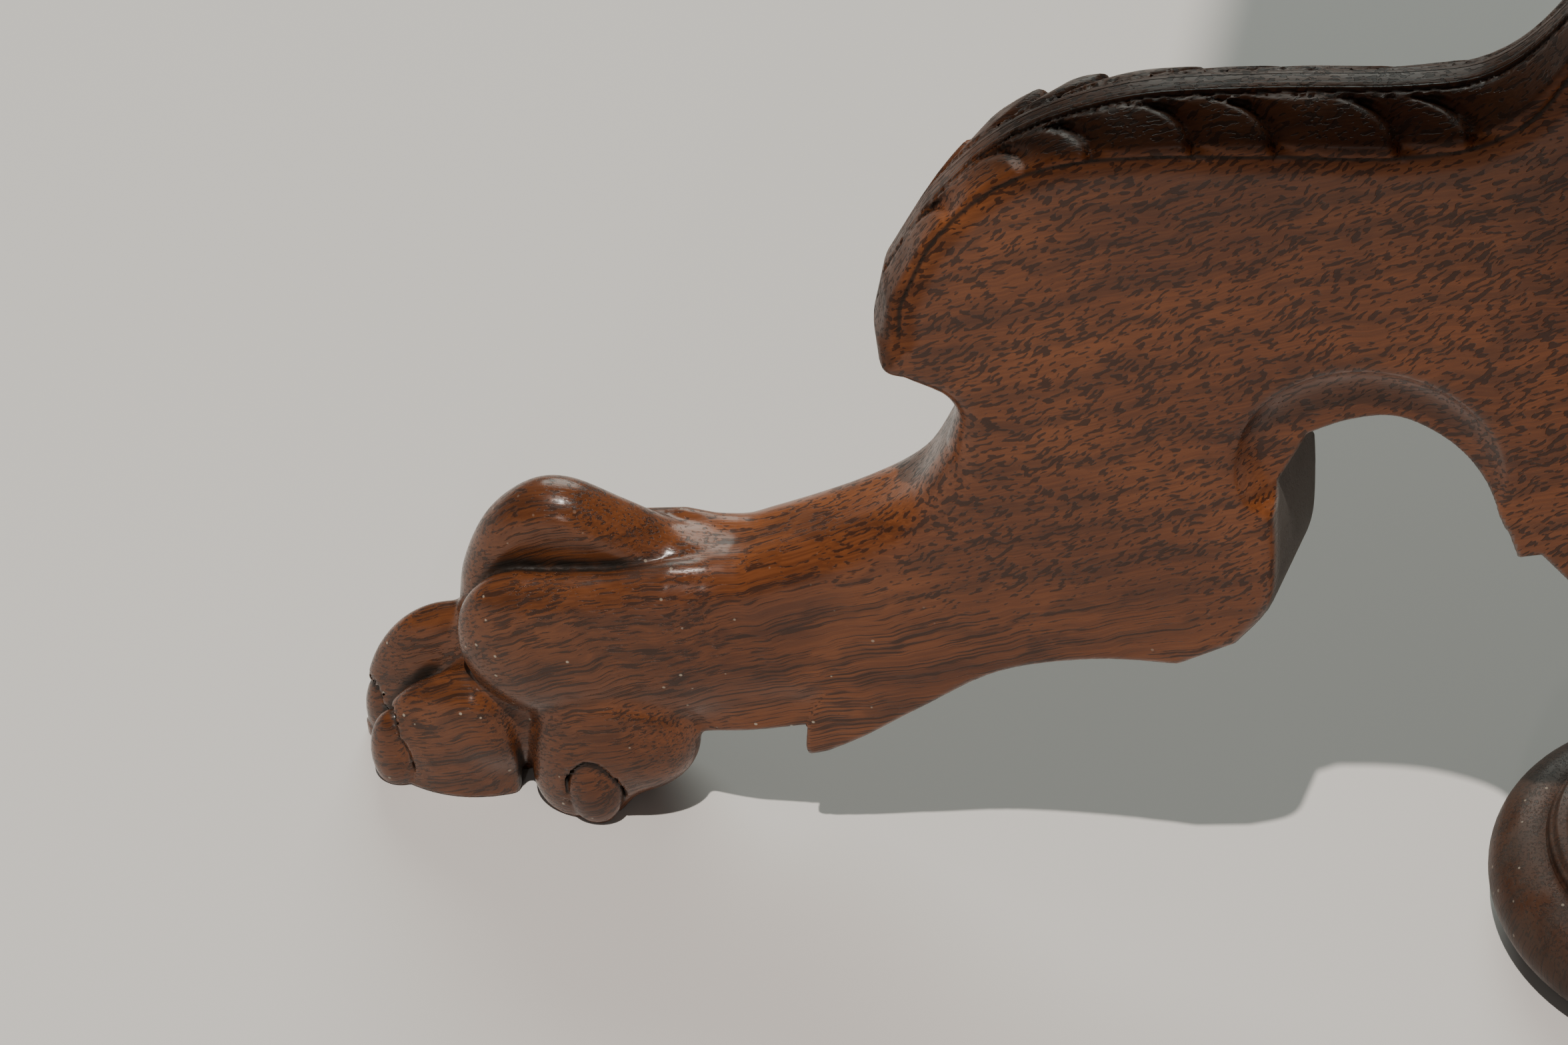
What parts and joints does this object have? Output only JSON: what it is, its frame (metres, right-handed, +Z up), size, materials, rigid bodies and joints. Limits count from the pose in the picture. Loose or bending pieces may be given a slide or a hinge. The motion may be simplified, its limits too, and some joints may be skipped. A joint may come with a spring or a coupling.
{
  "type": "lectern stand",
  "caption": "Wooden lectern on carved lion-paw legs round a turned column, with a brass-collared sliding stem and a tilting framed desk with a ledge.",
  "frame": {"origin": "on the floor under the column's axis", "axes": "+Z up along the column; the pictured leg runs along -X; the reader stands on the -Y side and the desk's ledge is its -Y edge; +X to the reader's right"},
  "size_m": [0.878, 0.878, 1.1414],
  "materials": {
    "mahogany": "satin varnish over red-brown ribbon-grained hardwood",
    "mahogany_dark": "satin varnish over dark stained hardwood",
    "beech": "bare beech",
    "aged_brass": "aged, lightly tarnished",
    "steel": "dull"
  },
  "bodies": {
    "base": {"leg_west": "mahogany", "leg_south": "mahogany", "leg_east": "mahogany", "leg_north": "mahogany", "leg_dowel_west_low": "beech", "leg_dowel_west_high": "beech", "leg_dowel_south_low": "beech", "leg_dowel_south_high": "beech", "leg_dowel_east_low": "beech", "leg_dowel_east_high": "beech", "leg_dowel_north_low": "beech", "leg_dowel_north_high": "beech", "column": "mahogany_dark", "base_drop": "mahogany_dark", "collar": "aged_brass"},
    "mast": {"stem": "mahogany_dark", "yoke": "aged_brass", "yoke_pin": "steel", "tilt_bolt": "steel", "tilt_washer_left": "steel", "tilt_washer_right": "steel"},
    "desk": {"tilt_lug": "aged_brass", "lug_screw_1": "steel", "lug_screw_2": "steel", "lug_screw_3": "steel", "lug_screw_4": "steel", "mount_block": "mahogany", "stile_left": "mahogany", "stile_right": "mahogany", "rail_bottom": "mahogany", "rail_top": "mahogany", "panel": "mahogany", "batten_left": "mahogany", "batten_right": "mahogany", "ledge": "mahogany"},
    "clamp_screw": {"clamp_screw": "aged_brass"},
    "tilt_knob": {"tilt_knob": "aged_brass"}
  },
  "joints": [
    {"name": "stem_lift", "type": "slide", "parent": "base", "child": "mast", "axis": [0, 0, 1], "range_m": [0, 0.2]},
    {"name": "desk_tilt", "type": "hinge", "parent": "mast", "child": "desk", "pos_m": [0, 0, 0.975], "axis": [1, 0, 0], "range_deg": [-30, 30]},
    {"name": "clamp_turn", "type": "hinge", "parent": "base", "child": "clamp_screw", "pos_m": [0, -0.03, 0.786], "axis": [0, -1, 0], "range_deg": [0, 360]},
    {"name": "tilt_knob_turn", "type": "hinge", "parent": "mast", "child": "tilt_knob", "pos_m": [0.025, 0, 0.975], "axis": [1, 0, 0], "range_deg": [0, 360]}
  ]
}
